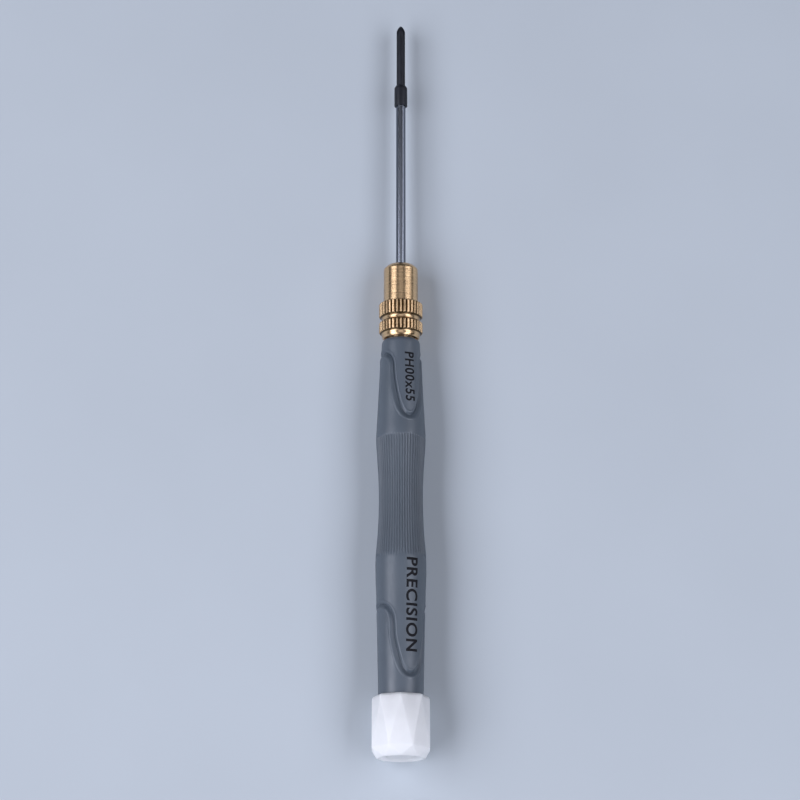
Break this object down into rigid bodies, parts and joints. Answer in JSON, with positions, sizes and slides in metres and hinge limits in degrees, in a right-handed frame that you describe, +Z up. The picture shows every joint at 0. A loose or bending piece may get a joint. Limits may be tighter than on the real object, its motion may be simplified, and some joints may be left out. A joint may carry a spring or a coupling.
{
  "type": "watchmaker screwdriver",
  "caption": "Slim precision screwdriver: grey handle with a soft grip, knurled brass collet chuck, thin plated shank with a black cross tip and a faceted white cap that spins.",
  "frame": {"origin": "on the tool's axis, at the outer face of the plug in the middle of the cap's end", "axes": "+Y along the tool from the cap to the tip, +Z up with the tool lying on a facet of its cap"},
  "size_m": [0.0118, 0.1607, 0.0118],
  "materials": {
    "handle_plastic": "satin moulded",
    "grip_rubber": "soft-touch matte",
    "brass": "turned",
    "plated_steel": "polished",
    "black_steel": "black oxide",
    "cap_plastic": "semi-gloss",
    "bearing_steel": "ground",
    "zinc_steel": "zinc plated"
  },
  "bodies": {
    "handle": {"handle_core": "handle_plastic", "grip_sleeve": "grip_rubber", "chuck_body": "brass", "pivot_screw": "zinc_steel", "bearing_inner_ring": "bearing_steel", "bearing_spacer": "zinc_steel"},
    "cap": {"cap_shell": "cap_plastic", "cap_plug": "cap_plastic", "bearing_outer_ring": "bearing_steel", "bearing_shield_rear": "zinc_steel", "bearing_shield_front": "zinc_steel"},
    "cage": {"bearing_cage": "zinc_steel", "bearing_ball_1": "bearing_steel", "bearing_ball_2": "bearing_steel", "bearing_ball_3": "bearing_steel", "bearing_ball_4": "bearing_steel", "bearing_ball_5": "bearing_steel", "bearing_ball_6": "bearing_steel", "bearing_ball_7": "bearing_steel"},
    "collet": {"collet": "brass"},
    "nut": {"chuck_nut": "brass"},
    "blade": {"shank": "plated_steel", "bit_sleeve": "black_steel", "driver_bit": "black_steel"}
  },
  "joints": [
    {"name": "cap_spin", "type": "hinge", "parent": "handle", "child": "cap", "pos_m": [0, 0.0055, 0], "axis": [0, 1, 0], "continuous": true},
    {"name": "cage_spin", "type": "hinge", "parent": "handle", "child": "cage", "pos_m": [0, 0.0055, 0], "axis": [0, 1, 0], "continuous": true},
    {"name": "collet_travel", "type": "slide", "parent": "handle", "child": "collet", "axis": [0, 1, 0], "range_m": [0, 0.001]},
    {"name": "nut_turn", "type": "hinge", "parent": "collet", "child": "nut", "pos_m": [0, 0.1, 0], "axis": [0, 1, 0], "range_deg": [0, 720]},
    {"name": "blade_slide", "type": "slide", "parent": "handle", "child": "blade", "axis": [0, 1, 0], "range_m": [0, 0.024]}
  ],
  "couplings": [
    {"joint": "cage_spin", "follows": "cap_spin", "ratio": 0.6351},
    {"joint": "nut_turn", "follows": "collet_travel", "rad_per_m": 12566}
  ]
}
